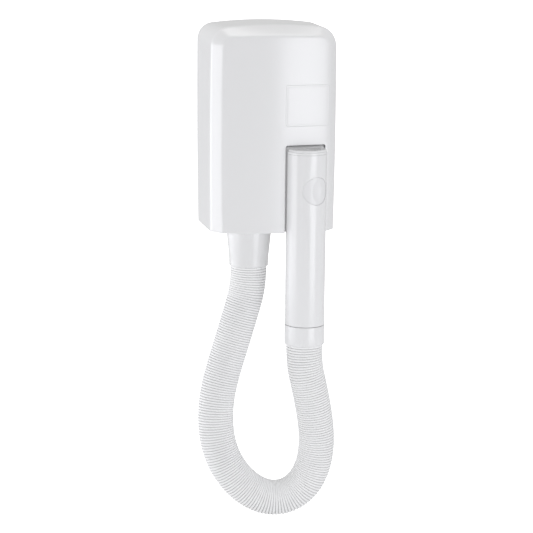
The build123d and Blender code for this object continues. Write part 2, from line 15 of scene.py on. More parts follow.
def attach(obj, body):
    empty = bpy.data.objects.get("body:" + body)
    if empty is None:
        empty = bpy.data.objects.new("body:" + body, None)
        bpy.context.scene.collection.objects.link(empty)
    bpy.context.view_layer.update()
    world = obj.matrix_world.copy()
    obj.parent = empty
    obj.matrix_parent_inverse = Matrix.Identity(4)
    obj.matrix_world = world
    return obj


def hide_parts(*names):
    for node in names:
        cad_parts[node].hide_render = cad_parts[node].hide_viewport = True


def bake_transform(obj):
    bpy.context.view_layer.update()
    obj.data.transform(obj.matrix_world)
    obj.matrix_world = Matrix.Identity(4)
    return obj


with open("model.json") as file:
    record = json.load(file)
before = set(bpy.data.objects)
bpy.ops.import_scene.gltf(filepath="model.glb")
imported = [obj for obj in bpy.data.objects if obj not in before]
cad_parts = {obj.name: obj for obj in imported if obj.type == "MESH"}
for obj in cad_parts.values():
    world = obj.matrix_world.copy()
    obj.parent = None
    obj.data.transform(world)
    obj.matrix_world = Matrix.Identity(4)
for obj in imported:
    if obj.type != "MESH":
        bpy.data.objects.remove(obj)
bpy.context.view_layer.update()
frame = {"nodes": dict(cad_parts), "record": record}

MM = 0.001

# How bright the studio air is, as the dryer sees it.
AIR_LEVEL = 0.57
SOFTBOX_TINT = (0.98, 0.99, 1.03)
CEILING_RADIANCE, CEILING_X, CEILING_Y = 1.4, 1.8, 1.4
FLOOR_HEIGHT = -0.75

# Housing, as the frame has it (mm).
FOOT, BELLY_HEIGHT = -121.5, 30.4
SIDE_DEPTH, FRONT_DEPTH, BOW_RADIUS = 81.4, 105.7, 218.0
# Its outline at the wall, at the ridge and at the front: half width at the widest, at the foot and how far
# the shoulder leans in, height of the top, radius of the top's arch, radius of the top corners.
AT_WALL = (77.0, 75.0, 0.0, 122.0, 500.0, 20.0)
AT_RIDGE = (75.5, 74.6, 1.0, 121.0, 700.0, 24.0)
AT_FRONT = (56.9, 55.5, 0.5, 109.9, 250.0, 9.0)
WALL = 2.5
DOCK_LEFT, DOCK_RIGHT, DOCK_TOP, DOCK_BACK = 9.8, 59.2, -18.0, -56.0
BLANK_LEFT, BLANK_RIGHT, BLANK_FOOT, BLANK_TOP = 9.3, 63.0, 4.2, 52.2
BLANK_GAP = 0.12
DUCT_X, DUCT_Y = -24.0, -60.0
SOCKET_TOP_R, SOCKET_FOOT_R, SOCKET_FOOT = 27.0, 23.5, -166.7
FOOT_SCREW_X, FOOT_SCREW_Y = 62.0, -9.0

# The socket's bore, the air slots in the foot (mm).
SOCKET_BORE_R, SOCKET_SEAT = 21.4, -118
AIR_SLOT_HALF, AIR_SLOT_FRONT, AIR_SLOT_BACK, AIR_SLOT_PITCH = 1.5, -29, -13, 6

# Handset (mm).
HAND_X, HAND_Y, HAND_R, COLLAR_R = 35.3, -105.0, 23.5, 23.8
HAND_TOP, CAP_FOOT, HAND_SPLIT, HAND_FOOT = -21.9, -27.4, -231.0, -254.8
BUTTON_TURN, BUTTON_Z, BUTTON_R, BUTTON_HOLE_R = 20.0, -69.3, 16.28, 16.4
HAND_WALL, CAP_BORE_R, CAP_NECK_R, COLLAR_BORE_R = 2.0, 18.5, 21.1, 21.35
PEG_Z, PEG_HOLE_R = -38, 4.05

# The angles, in degrees, past which an edge is rounded or kept crisp.
CREASE_ANGLE, SMOOTH_ANGLE = 35, 40

# Hose (mm).
HOSE_R, RIB_PITCH, RIB_DEPTH, HOSE_SIDES = 21.5, 3.0, 1.0, 56
# A rib's shoulder is this much (mm) under its crest, and a bend is read this far (m) either way.
RIB_SHOULDER, BEND_REACH = 0.28, 0.006
HOSE_ROUTE = [
    (DUCT_X, DUCT_Y, SOCKET_FOOT), (DUCT_X, DUCT_Y, -192), (-33.3, -61.5, -224), (-44.3, -63.5, -259.5),
    (-54.8, -66, -291.5), (-63, -69, -322), (-66, -72.5, -354), (-62.3, -76, -385), (-51.5, -79.5, -411.5),
    (-33, -83, -434.5), (-8, -86.5, -449.5), (18, -90, -449.5), (38.5, -93.5, -435), (50.5, -96.5, -411),
    (54.5, -99.5, -380), (50.7, -102, -346), (43.5, -103.7, -312), (HAND_X, HAND_Y, -279),
    (HAND_X, HAND_Y, HAND_FOOT),
]


# ---------------------------------------------------------------- camera and hose come first


def make_camera():
    camera = bpy.data.objects.new("camera", bpy.data.cameras.new("camera"))
    bpy.context.scene.collection.objects.link(camera)
    place = Vector((-0.478, -2.317, 0.2735))
    aim = Vector((-0.002, -0.060, -0.1695))
    camera.location = place
    camera.rotation_mode = "QUATERNION"
    roll = Quaternion((0, 0, 1), radians(0.64))
    camera.rotation_quaternion = (aim - place).to_track_quat("-Z", "Y") @ roll
    camera.data.sensor_width = 36
    camera.data.lens = 132.2
    bpy.context.scene.camera = camera


def cord_line(route):
    """The points along the smooth NURBS line of a route."""
    curve = bpy.data.curves.new("hose_line", "CURVE")
    curve.dimensions = "3D"
    curve.resolution_u = 24
    spline = curve.splines.new("NURBS")
    spline.points.add(len(route) - 1)
    for point, place in zip(spline.points, route):
        point.co = (*[c * MM for c in place], 1)
    spline.order_u = 3
    spline.use_endpoint_u = True
    holder = bpy.data.objects.new("hose_line", curve)
    mesh = bpy.data.meshes.new_from_object(holder)
    points = [v.co.copy() for v in mesh.vertices]
    bpy.data.objects.remove(holder)
    bpy.data.curves.remove(curve)
    bpy.data.meshes.remove(mesh)
    return points


class Line:
    """A line of points that can be asked for its place and direction at a length along it."""

    def __init__(self, points):
        self.points = points
        self.at = [0.0]
        for a, b in zip(points, points[1:]):
            self.at.append(self.at[-1] + (b - a).length)
        self.length = self.at[-1]
        self.ways = [
            (points[min(i + 1, len(points) - 1)] - points[max(i - 1, 0)]).normalized()
            for i in range(len(points))
        ]

    def look(self, length):
        """Place and direction at a length, read between the two nearest points."""
        length = min(max(length, 0.0), self.length)
        low, high = 0, len(self.at) - 1
        while high - low > 1:
            middle = (low + high) // 2
            low, high = (middle, high) if self.at[middle] <= length else (low, middle)
        share = (length - self.at[low]) / (self.at[high] - self.at[low])
        place = self.points[low].lerp(self.points[high], share)
        return place, self.ways[low].lerp(self.ways[high], share).normalized()


def make_hose():
    """A tube of stiff rings with soft grooves between them, which open on the outside of the bend."""
    line = Line(cord_line(HOSE_ROUTE))
    ribs = round(line.length / (RIB_PITCH * MM))
    pitch = line.length / ribs
    verts, groove_marks = [], []

    across = Vector((0, 1, 0))

    def ring(centre_length, radius_of, shift_of, mark):
        nonlocal across
        place, way = line.look(centre_length)
        ahead = line.look(centre_length + BEND_REACH)[1]
        behind = line.look(centre_length - BEND_REACH)[1]
        span = min(centre_length + BEND_REACH, line.length) - max(centre_length - BEND_REACH, 0)
        bend = (ahead - behind) / span
        across = (across - way * across.dot(way)).normalized()
        up = way.cross(across)
        for i in range(HOSE_SIDES):
            angle = 2 * pi * i / HOSE_SIDES
            out = across * cos(angle) + up * sin(angle)
            open_share = -bend.dot(out) * HOSE_R * MM
            verts.append(place + out * radius_of(open_share) * MM + way * shift_of(open_share) * pitch)
            groove_marks.append(mark)

    def half_crest(open_share):
        return min(0.33, 0.40 * (1 + open_share))

    def groove_radius(open_share):
        return HOSE_R - RIB_DEPTH * max(0.35, 1 + 0.9 * open_share)

    rings = 0
    for rib in range(ribs):
        middle = (rib + 0.5) * pitch
        ring(middle - 0.5 * pitch, groove_radius, lambda o: 0, 1.0)
        ring(middle, lambda o: HOSE_R - RIB_SHOULDER, lambda o: -half_crest(o) - 0.055, 0.5)
        ring(middle, lambda o: HOSE_R, lambda o: -half_crest(o) + 0.06, 0.0)
        ring(middle, lambda o: HOSE_R, lambda o: half_crest(o) - 0.06, 0.0)
        ring(middle, lambda o: HOSE_R - RIB_SHOULDER, lambda o: half_crest(o) + 0.055, 0.5)
        rings += 5
    ring(line.length, groove_radius, lambda o: 0, 1.0)
    rings += 1
    faces = []
    for r in range(rings - 1):
        for i in range(HOSE_SIDES):
            j = (i + 1) % HOSE_SIDES
            a = r * HOSE_SIDES
            faces.append((a + i, a + j, a + HOSE_SIDES + j, a + HOSE_SIDES + i))
    faces.append(tuple(reversed(range(HOSE_SIDES))))
    faces.append(tuple(range((rings - 1) * HOSE_SIDES, rings * HOSE_SIDES)))
    mesh = bpy.data.meshes.new("ribbed_hose")
    mesh.from_pydata(verts, [], faces)
    # The groove attribute marks the grooves; the hose finish paints shade along it.
    mesh.attributes.new("groove", "FLOAT", "POINT").data.foreach_set("value", groove_marks)
    hose = bpy.data.objects.new("ribbed_hose", mesh)
    bpy.context.scene.collection.objects.link(hose)
    select_only(hose)
    bpy.ops.object.mode_set(mode="EDIT")
    bpy.ops.mesh.select_all(action="SELECT")
    bpy.ops.mesh.normals_make_consistent(inside=False)
    bpy.ops.object.mode_set(mode="OBJECT")
    bpy.ops.object.shade_smooth_by_angle(angle=radians(60))
    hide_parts("hose")
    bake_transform(hose)
    return hose


# ---------------------------------------------------------------- ways of making a piece


def select_only(*pieces):
    bpy.ops.object.select_all(action="DESELECT")
    for piece in pieces:
        piece.select_set(True)
    bpy.context.view_layer.objects.active = pieces[0]


def drawn_out(name, levels, fill_start=False, fill_end=False):
    """A ring of points (mm) extruded from level to level; each level is in order round the ring."""
    bpy.ops.object.select_all(action="DESELECT")
    bpy.ops.mesh.primitive_circle_add(vertices=len(levels[0]), radius=1, location=(0, 0, 0))
    piece = bpy.context.object
    piece.name = name
    for vertex, place in zip(piece.data.vertices, levels[0]):
        vertex.co = Vector(place) * MM
    bpy.ops.object.mode_set(mode="EDIT")
    bpy.ops.mesh.select_mode(type="EDGE")
    bpy.ops.mesh.select_all(action="SELECT")
    if fill_start:
        bpy.ops.mesh.edge_face_add()
    ring = list(range(len(levels[0])))
    for level in levels[1:]:
        bpy.ops.mesh.extrude_edges_move()
        shape = bmesh.from_edit_mesh(piece.data)
        shape.verts.ensure_lookup_table()
        ring = [
            next(e.other_vert(shape.verts[i]).index for e in shape.verts[i].link_edges
                 if e.other_vert(shape.verts[i]).select)
            for i in ring
        ]
        for i, place in zip(ring, level):
            shape.verts[i].co = Vector(place) * MM
        bmesh.update_edit_mesh(piece.data)
    if fill_end:
        bpy.ops.mesh.edge_face_add()
    bpy.ops.mesh.select_mode(type="VERT")
    bpy.ops.mesh.select_all(action="SELECT")
    bpy.ops.mesh.remove_doubles(threshold=0.00002)
    bpy.ops.mesh.select_all(action="SELECT")
    bpy.ops.mesh.normals_make_consistent(inside=False)
    bpy.ops.object.mode_set(mode="OBJECT")
    return piece


def rounded(corners):
    """A flat open profile of (a, b, reach) corners, each inner corner turned into a short curve."""
    points = []
    last = len(corners) - 1
    for i, (a, b, reach) in enumerate(corners):
        here = Vector((a, b))
        if i in (0, last) or reach == 0:
            points.append((a, b))
            continue
        before = Vector(corners[i - 1][:2])
        after = Vector(corners[i + 1][:2])
        start = here + (before - here).normalized() * reach
        end = here + (after - here).normalized() * reach
        for step in range(6):
            t = step / 5
            spot = start * (1 - t) ** 2 + here * 2 * t * (1 - t) + end * t * t
            points.append((spot.x, spot.y))
    return points


def turned(name, x, y, profile, sides=96, **fills):
    """A turned piece on an upright axis at x, y: a ring drawn out through the (radius, height) points."""
    levels = [
        [(x + r * cos(2 * pi * i / sides), y + r * sin(2 * pi * i / sides), z) for i in range(sides)]
        for r, z in profile
    ]
    return drawn_out(name, levels, **fills)


def cut(piece, *tools):
    for tool in tools:
        select_only(piece)
        modifier = piece.modifiers.new("cut", "BOOLEAN")
        modifier.operation = "DIFFERENCE"
        modifier.solver = "EXACT"
        modifier.object = tool
        bpy.ops.object.modifier_apply(modifier=modifier.name)
        bpy.data.objects.remove(tool)


def bar(name, x0, x1, y0, y1, z0, z1, corner=0.0):
    """A cube stretched between two values (mm) on each axis, its edges along Y rounded."""
    bpy.ops.object.select_all(action="DESELECT")
    middle = ((x0 + x1) / 2 * MM, (y0 + y1) / 2 * MM, (z0 + z1) / 2 * MM)
    bpy.ops.mesh.primitive_cube_add(size=1, location=middle)
    piece = bpy.context.object
    piece.name = name
    piece.scale = (abs(x1 - x0) * MM, abs(y1 - y0) * MM, abs(z1 - z0) * MM)
    bpy.ops.object.transform_apply(location=True, rotation=True, scale=True)
    if corner:
        bpy.ops.object.mode_set(mode="EDIT")
        bpy.ops.mesh.select_all(action="DESELECT")
        bpy.ops.mesh.select_mode(type="EDGE")
        shape = bmesh.from_edit_mesh(piece.data)
        for edge in shape.edges:
            along = edge.verts[0].co - edge.verts[1].co
            edge.select_set(abs(along.y) > 0.9 * along.length)
        bmesh.update_edit_mesh(piece.data)
        bpy.ops.mesh.bevel(offset=corner * MM, segments=6, profile=0.5)
        bpy.ops.object.mode_set(mode="OBJECT")
    return piece


def peg_shape(name, start, way, length, radius, sides=64):
    """A round bar (mm) from a point along a direction."""
    bpy.ops.object.select_all(action="DESELECT")
    way = Vector(way).normalized()
    middle = (Vector(start) + way * length / 2) * MM
    bpy.ops.mesh.primitive_cylinder_add(vertices=sides, radius=radius * MM, depth=length * MM)
    piece = bpy.context.object
    piece.name = name
    piece.location = middle
    piece.rotation_euler = way.to_track_quat("Z", "Y").to_euler()
    bpy.ops.object.transform_apply(location=True, rotation=True, scale=True)
    return piece


def soften(piece, width):
    """A small round on every sharp edge, then smooth shading with the flats kept flat."""
    select_only(piece)
    bpy.ops.object.mode_set(mode="EDIT")
    bpy.ops.mesh.select_all(action="SELECT")
    bpy.ops.mesh.remove_doubles(threshold=0.00004)
    bpy.ops.mesh.dissolve_degenerate(threshold=0.00004)
    bpy.ops.object.mode_set(mode="OBJECT")
    modifier = piece.modifiers.new("round", "BEVEL")
    modifier.width = width * MM
    modifier.segments = 3
    modifier.limit_method = "ANGLE"
    modifier.angle_limit = radians(CREASE_ANGLE)
    modifier.use_clamp_overlap = True
    modifier.harden_normals = False
    bpy.ops.object.modifier_apply(modifier=modifier.name)
    bpy.ops.object.shade_smooth_by_angle(angle=radians(SMOOTH_ANGLE))


def belongs(piece, body, slot, *nodes):
    """Says which body the piece moves with and what it stands for; the slot argument is not used."""
    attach(piece, body)
    if nodes:
        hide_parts(*nodes)
    return piece


# ---------------------------------------------------------------- housing


def bow(x):
    """How far the bowed front stands from the wall at x."""
    return FRONT_DEPTH - (BOW_RADIUS - sqrt(BOW_RADIUS**2 - x * x))


def curve_between(a, b, way_a, way_b, reach, steps):
    """Points of a smooth corner from a to b that leaves along way_a and arrives along way_b."""
    c1, c2 = a + way_a * reach, b - way_b * reach
    points = []
    for i in range(steps + 1):
        t = i / steps
        points.append(a * (1 - t) ** 3 + c1 * 3 * t * (1 - t) ** 2 + c2 * 3 * t * t * (1 - t) + b * t**3)
    return points


def outline(kind):
    """The housing from the front, counter-clockwise from the middle of its foot."""
    half, foot_half, lean, top, arch, corner = kind
    shoulder = top - half * half / (2 * arch)

    def side_x(z):
        """A parabola through the foot, the belly and the shoulder."""
        at = ((FOOT, foot_half), (BELLY_HEIGHT, half), (shoulder, half - lean))
        x = 0
        for i, (zi, xi) in enumerate(at):
            part = xi
            for j, (zj, _) in enumerate(at):
                if i != j:
                    part *= (z - zj) / (zi - zj)
            x += part
        return x

    def top_z(x):
        return top - x * x / (2 * arch)

    turn = pi / 2 - half / arch
    back = corner * tan(turn / 2)
    side_end = shoulder - back
    top_start = half - lean - back * cos(half / arch)
    corner_from = Vector((side_x(side_end), side_end))
    corner_to = Vector((top_start, top_z(top_start)))
    way_up = Vector((side_x(side_end) - side_x(side_end - 1), 1)).normalized()
    way_in = Vector((-1, top_start / arch)).normalized()
    reach = 4 / 3 * tan(turn / 4) * corner
    right = [Vector((foot_half * i / 16, FOOT)) for i in range(16)]
    right += [Vector((side_x(z), z)) for z in (FOOT + (side_end - FOOT) * i / 44 for i in range(44))]
    right += curve_between(corner_from, corner_to, way_up, way_in, reach, 14)[:-1]
    right += [Vector((x, top_z(x))) for x in (top_start * (1 - i / 18) for i in range(19))]
    left = [Vector((-p.x, p.y)) for p in reversed(right[1:-1])]
    return right + left


def housing_levels():
    """Rings of the housing's outside: from the wall along the side, over the band, over the bow."""
    columns = []
    for wall, side, front in zip(outline(AT_WALL), outline(AT_RIDGE), outline(AT_FRONT)):
        base = Vector((wall.x, 0, wall.y))
        ridge = Vector((side.x, -SIDE_DEPTH, side.y))
        goal = Vector((front.x, -FRONT_DEPTH, front.y))
        low, high = 0.0, 1.0
        for _ in range(40):
            middle = (low + high) / 2
            spot = ridge.lerp(goal, middle)
            low, high = (middle, high) if -spot.y < bow(spot.x) else (low, middle)
        rim = ridge.lerp(goal, low)
        band_way = (rim - ridge).normalized()
        spine = Vector((0, 0, min(max(rim.z, -60), 60)))

        def on_front(share):
            x, z = rim.x + (spine.x - rim.x) * share, rim.z + (spine.z - rim.z) * share
            return Vector((x, -bow(x), z))

        front_way = (on_front(0.01) - rim).normalized()
        on_foot = abs(side.y - FOOT) < 0.01
        ridge_reach, rim_reach = (3.5, 1.2) if on_foot else (4.0, 3.0)
        column = [base]
        column += [base.lerp(ridge, t) for t in (0.02, 0.25, 0.5, 0.75)]
        column += bent(ridge, (ridge - base).normalized(), band_way, ridge_reach)
        column += [ridge.lerp(rim, 0.5)]
        column += bent(rim, band_way, front_way, rim_reach)
        span = (spine - Vector((rim.x, 0, rim.z))).length
        first = rim_reach / span
        column += [on_front(first + (1 - first) * i / 16) for i in range(1, 17)]
        columns.append(column)
    return [[column[k] for column in columns] for k in range(len(columns[0]))]


def bent(corner, way_in, way_out, reach):
    """The points of a small round on a corner, between two directions."""
    start, end = corner - way_in * reach, corner + way_out * reach
    steps = 5
    points = []
    for i in range(steps + 1):
        t = i / steps
        points.append(start * (1 - t) ** 2 + corner * 2 * t * (1 - t) + end * t * t)
    return points


def make_housing():
    housing = drawn_out("housing_shell", housing_levels())
    select_only(housing)
    wall = housing.modifiers.new("wall", "SOLIDIFY")
    wall.thickness = WALL * MM
    wall.offset = -1
    wall.use_even_offset = True
    bpy.ops.object.modifier_apply(modifier=wall.name)
    for vertex in housing.data.vertices:
        vertex.co.y = min(vertex.co.y, 0.0)
    dock = bar("dock_tool", DOCK_LEFT, DOCK_RIGHT, DOCK_BACK, -130, -140, DOCK_TOP, corner=2.5)
    pocket = bar(
        "pocket_tool", BLANK_LEFT - BLANK_GAP, BLANK_RIGHT + BLANK_GAP, -80, -130,
        BLANK_FOOT - BLANK_GAP, BLANK_TOP + BLANK_GAP, corner=3.1,
    )
    hole = peg_shape("socket_tool", (DUCT_X, DUCT_Y, -140), (0, 0, 1), 30, SOCKET_TOP_R - 0.1, sides=96)
    cut(housing, dock, pocket, hole)
    slots = [
        bar("slot_tool", x - AIR_SLOT_HALF, x + AIR_SLOT_HALF, AIR_SLOT_FRONT, AIR_SLOT_BACK, -140, -115)
        for x in range(-54, 55, AIR_SLOT_PITCH)
    ]
    sinks = [
        peg_shape("sink_tool", (x, FOOT_SCREW_Y, -140), (0, 0, 1), 20.2, 3.3, sides=32)
        for x in (-FOOT_SCREW_X, FOOT_SCREW_X)
    ]
    cut(housing, *slots, *sinks)
    soften(housing, 0.3)
    return belongs(housing, "housing", "housing_white", "front_cover")


def rounded_box_ring(x0, x1, z0, z1, corner):
    """A rectangle with round corners, counter-clockwise, as (x, z) points (mm)."""
    per_side, per_corner = 10, 6
    ring = []
    inner = [
        (x1 - corner, z0 + corner, -90), (x1 - corner, z1 - corner, 0),
        (x0 + corner, z1 - corner, 90), (x0 + corner, z0 + corner, 180),
    ]
    arcs = []
    for cx, cz, start in inner:
        angles = [radians(start + 90 * i / per_corner) for i in range(per_corner + 1)]
        arcs.append([(cx + corner * cos(a), cz + corner * sin(a)) for a in angles])
    for k, arc in enumerate(arcs):
        ring += arc
        ax, az = arc[-1]
        bx, bz = arcs[(k + 1) % 4][0]
        ring += [(ax + (bx - ax) * i / per_side, az + (bz - az) * i / per_side) for i in range(1, per_side)]
    return ring


def make_blank():
    """The blank plate: a low bevelled rim round a face that follows the bow."""
    middle_x, middle_z = (BLANK_LEFT + BLANK_RIGHT) / 2, (BLANK_FOOT + BLANK_TOP) / 2

    def ring(inset, below):
        points = rounded_box_ring(
            BLANK_LEFT + inset, BLANK_RIGHT - inset, BLANK_FOOT + inset, BLANK_TOP - inset,
            max(3.0 - inset, 0.8),
        )
        return [(x, -bow(x) + below, z) for x, z in points]

    def inward(share):
        return [
            (middle_x + (x - middle_x) * share, middle_z + (z - middle_z) * share) for x, _, z in ring(2.2, 0)
        ]

    levels = [ring(-0.6, 2.3), ring(-0.6, 0.55), ring(0, 0.5), ring(0.06, 0.2), ring(0.3, 0.05)]
    levels += [ring(0.8, 0.08), ring(1.7, 0.16), ring(2.0, 0.14), ring(2.2, 0.06)]
    for share in (0.99, 0.96, 0.85, 0.7, 0.55, 0.4, 0.25, 0.1, 0.0):
        levels.append([(x, -bow(x) + (0.03 if share > 0.97 else 0.0), z) for x, z in inward(share)])
    blank = drawn_out("blank_cap", levels, fill_start=True)
    select_only(blank)
    bpy.ops.object.shade_smooth_by_angle(angle=radians(SMOOTH_ANGLE))
    return belongs(blank, "housing", "housing_white", "blank_plate")


def make_socket():
    """The tapering spigot: a crisp foot, a thin lead-in and a soft shoulder at the top."""
    profile = rounded([
        (SOCKET_BORE_R, SOCKET_SEAT, 0), (SOCKET_BORE_R, SOCKET_FOOT + 0.4, 0.3),
        (SOCKET_FOOT_R - 0.2, SOCKET_FOOT, 1.0), (SOCKET_FOOT_R, SOCKET_FOOT + 9, 4.0),
        (SOCKET_TOP_R - 0.05, FOOT - 0.1, 0.3), (SOCKET_TOP_R - 0.35, FOOT, 0.1),
        (SOCKET_TOP_R - 0.35, SOCKET_SEAT, 0), (SOCKET_BORE_R, SOCKET_SEAT, 0),
    ])
    socket = turned("socket_sleeve", DUCT_X, DUCT_Y, profile)
    select_only(socket)
    bpy.ops.object.shade_smooth_by_angle(angle=radians(CREASE_ANGLE))
    return belongs(socket, "housing", "socket_white", "hose_socket")


# ---------------------------------------------------------------- handset


def button_frame():
    """From the button's own axes (right, up, out of the handset) to the object's."""
    turn = radians(BUTTON_TURN)
    right, up = Vector((cos(turn), sin(turn), 0)), Vector((0, 0, 1))
    out = Vector((sin(turn), -cos(turn), 0))
    turned_axes = Matrix((right, up, out)).transposed().to_4x4()
    return Matrix.Translation((HAND_X, HAND_Y, BUTTON_Z)) @ turned_axes


def make_handset():
    inner = HAND_R - HAND_WALL
    profile = rounded([
        (inner, CAP_FOOT, 0), (HAND_R, CAP_FOOT, 0.35), (HAND_R, -60, 0), (HAND_R, -110, 0),
        (HAND_R, HAND_SPLIT, 0.6), (inner, HAND_SPLIT, 0), (inner, -110, 0), (inner, -60, 0),
        (inner, CAP_FOOT, 0),
    ])
    handset = turned("handset_sleeve", HAND_X, HAND_Y, profile, sides=160)
    axes = button_frame()
    out = (axes.to_3x3() @ Vector((0, 0, 1))).normalized()
    centre = Vector((HAND_X, HAND_Y, BUTTON_Z))
    hole = peg_shape("button_tool", centre + out * 3, out, 30, BUTTON_HOLE_R, sides=128)
    peg_hole = peg_shape("peg_tool", (HAND_X, HAND_Y + 18, PEG_Z), (0, 1, 0), 10, PEG_HOLE_R, sides=48)
    cut(handset, hole, peg_hole)
    soften(handset, 0.22)
    return belongs(handset, "handset", "handset_white", "handset_tube")


def make_cap():
    """The cap ring on the open end, with a fine groove under its lip."""
    profile = rounded([
        (CAP_BORE_R, CAP_FOOT - 2.8, 0), (CAP_BORE_R, HAND_TOP - 0.2, 0.5), (20.0, HAND_TOP, 0.5),
        (22.3, HAND_TOP, 0.7),
        (22.9, HAND_TOP - 1.6, 0.3), (22.5, HAND_TOP - 1.9, 0.1), (22.5, HAND_TOP - 2.5, 0.1),
        (HAND_R, HAND_TOP - 2.8, 0.2), (HAND_R, CAP_FOOT + 0.1, 0.3), (CAP_NECK_R, CAP_FOOT + 0.1, 0),
        (CAP_NECK_R, CAP_FOOT - 2.8, 0), (CAP_BORE_R, CAP_FOOT - 2.8, 0),
    ])
    cap = turned("nozzle_ring", HAND_X, HAND_Y, profile, sides=160)
    select_only(cap)
    bpy.ops.object.shade_smooth_by_angle(angle=radians(CREASE_ANGLE))
    return belongs(cap, "handset", "handset_white", "nozzle_cap")


def make_button():
    """A round key whose dished face follows the tube."""
    face_r, dish_r = HAND_R - 0.3, 60.0
    sides = 96
    axes = button_frame()

    def ring(rho, drop):
        points = []
        for i in range(sides):
            angle = 2 * pi * i / sides
            x, y = rho * cos(angle), rho * sin(angle)
            tube = sqrt(face_r**2 - x * x)
            dish = face_r - 1.2 + dish_r - sqrt(dish_r**2 - rho * rho)
            out = min(tube, dish) - drop
            points.append(axes @ Vector((x, y, out)))
        return points

    steps = [(BUTTON_R, 4.0), (BUTTON_R, 0.5), (BUTTON_R - 0.04, 0.2), (BUTTON_R - 0.2, 0.06)]
    steps += [(BUTTON_R - 0.7, 0.0)]
    steps += [(BUTTON_R - 0.7 - 15.5 * i / 22, 0.0) for i in range(1, 23)]
    button = drawn_out("thumb_key", [ring(*s) for s in steps], fill_start=True, fill_end=True)
    select_only(button)
    bpy.ops.object.shade_smooth_by_angle(angle=radians(SMOOTH_ANGLE))
    return belongs(button, "button", "button_white", "thumb_button")


def make_collar():
    top = HAND_SPLIT - 0.45
    profile = rounded([
        (COLLAR_BORE_R, top, 0), (COLLAR_R, top, 0.5), (COLLAR_R, HAND_SPLIT - 6, 0),
        (COLLAR_R - 0.05, HAND_SPLIT - 14, 0), (COLLAR_R - 0.1, HAND_FOOT, 0.9),
        (COLLAR_BORE_R, HAND_FOOT, 0.3), (COLLAR_BORE_R, top, 0),
    ])
    collar = turned("turning_collar", HAND_X, HAND_Y, profile, sides=160)
    select_only(collar)
    bpy.ops.object.shade_smooth_by_angle(angle=radians(CREASE_ANGLE))
    return belongs(collar, "collar", "handset_white", "swivel_collar")


# ---------------------------------------------------------------- finishes


class Finish:
    """A node material with a short way of adding and joining nodes."""

    def __init__(self, name):
        self.material = bpy.data.materials.new(name)
        self.material.use_nodes = True
        self.nodes = self.material.node_tree.nodes
        self.links = self.material.node_tree.links
        self.surface = self.nodes["Principled BSDF"]
        self.place = self.add("ShaderNodeTexCoord").outputs["Object"]

    def add(self, kind, **values):
        node = self.nodes.new(kind)
        for key, value in values.items():
            if hasattr(node, key):
                setattr(node, key, value)
            else:
                node.inputs[key.replace("_", " ")].default_value = value
        return node

    def join(self, out, into):
        self.links.new(out, into)

    def set(self, **values):
        for key, value in values.items():
            self.surface.inputs[key.replace("_", " ")].default_value = value

    def noise(self, scale, detail=2.0):
        node = self.add("ShaderNodeTexNoise", Scale=scale, Detail=detail)
        self.join(self.place, node.inputs["Vector"])
        return node.outputs["Fac"]

    def span(self, value, low, high, from_low=0.0, from_high=1.0):
        node = self.add("ShaderNodeMapRange")
        self.join(value, node.inputs["Value"])
        limits = {"From Min": from_low, "From Max": from_high, "To Min": low, "To Max": high}
        for key, number in limits.items():
            node.inputs[key].default_value = number
        return node.outputs["Result"]

    def blend(self, share, first, second):
        node = self.add("ShaderNodeMix", data_type="RGBA")
        self.join(share, node.inputs["Factor"])
        for socket, value in ((node.inputs[6], first), (node.inputs[7], second)):
            if hasattr(value, "is_linked") or hasattr(value, "node"):
                self.join(value, socket)
            else:
                socket.default_value = (*value, 1)
        return node.outputs[2]

    def bump(self, height, strength, distance):
        node = self.add("ShaderNodeBump", Strength=strength, Distance=distance)
        self.join(height, node.inputs["Height"])
        return node.outputs["Normal"]


def gloss_plastic(name, colour, shade, roughness, coat=0.25):
    """Polished moulded plastic: faint clouding, a trace of orange peel, fine marks in its gloss."""
    finish = Finish(name)
    cloud = finish.noise(9.0, 1.0)
    finish.join(finish.blend(cloud, colour, shade), finish.surface.inputs["Base Color"])
    smear = finish.span(finish.noise(16.0, 1.0), roughness - 0.01, roughness + 0.02)
    finish.join(smear, finish.surface.inputs["Roughness"])
    peel = finish.bump(finish.noise(420.0, 2.0), 0.02, 0.0002)
    finish.join(peel, finish.surface.inputs["Normal"])
    finish.set(IOR=1.52, Coat_Weight=coat, Coat_Roughness=0.2)
    return finish.material


def matt_plastic(name, colour, shade, roughness=0.55):
    """Moulded plastic with a fine spark grain."""
    finish = Finish(name)
    cloud = finish.span(finish.noise(14.0, 3.0), 0, 1, 0.35, 0.65)
    finish.join(finish.blend(cloud, colour, shade), finish.surface.inputs["Base Color"])
    rough = finish.span(finish.noise(120.0, 3.0), roughness - 0.05, roughness + 0.08, 0.3, 0.7)
    finish.join(rough, finish.surface.inputs["Roughness"])
    finish.join(finish.bump(finish.noise(900.0, 2.0), 0.12, 0.0003), finish.surface.inputs["Normal"])
    return finish.material


def metal(name, colour, roughness):
    """Drawn or turned metal with fine streaks along Z."""
    finish = Finish(name)
    mapping = finish.add("ShaderNodeMapping")
    finish.join(finish.place, mapping.inputs["Vector"])
    mapping.inputs["Scale"].default_value = (40, 40, 900)
    noise = finish.add("ShaderNodeTexNoise", Scale=1.0, Detail=3.0)
    finish.join(mapping.outputs["Vector"], noise.inputs["Vector"])
    rough = finish.span(noise.outputs["Fac"], roughness - 0.08, roughness + 0.12)
    finish.join(rough, finish.surface.inputs["Roughness"])
    tint = finish.blend(noise.outputs["Fac"], colour, [c * 0.8 for c in colour])
    finish.join(tint, finish.surface.inputs["Base Color"])
    finish.set(Metallic=1.0)
    return finish.material


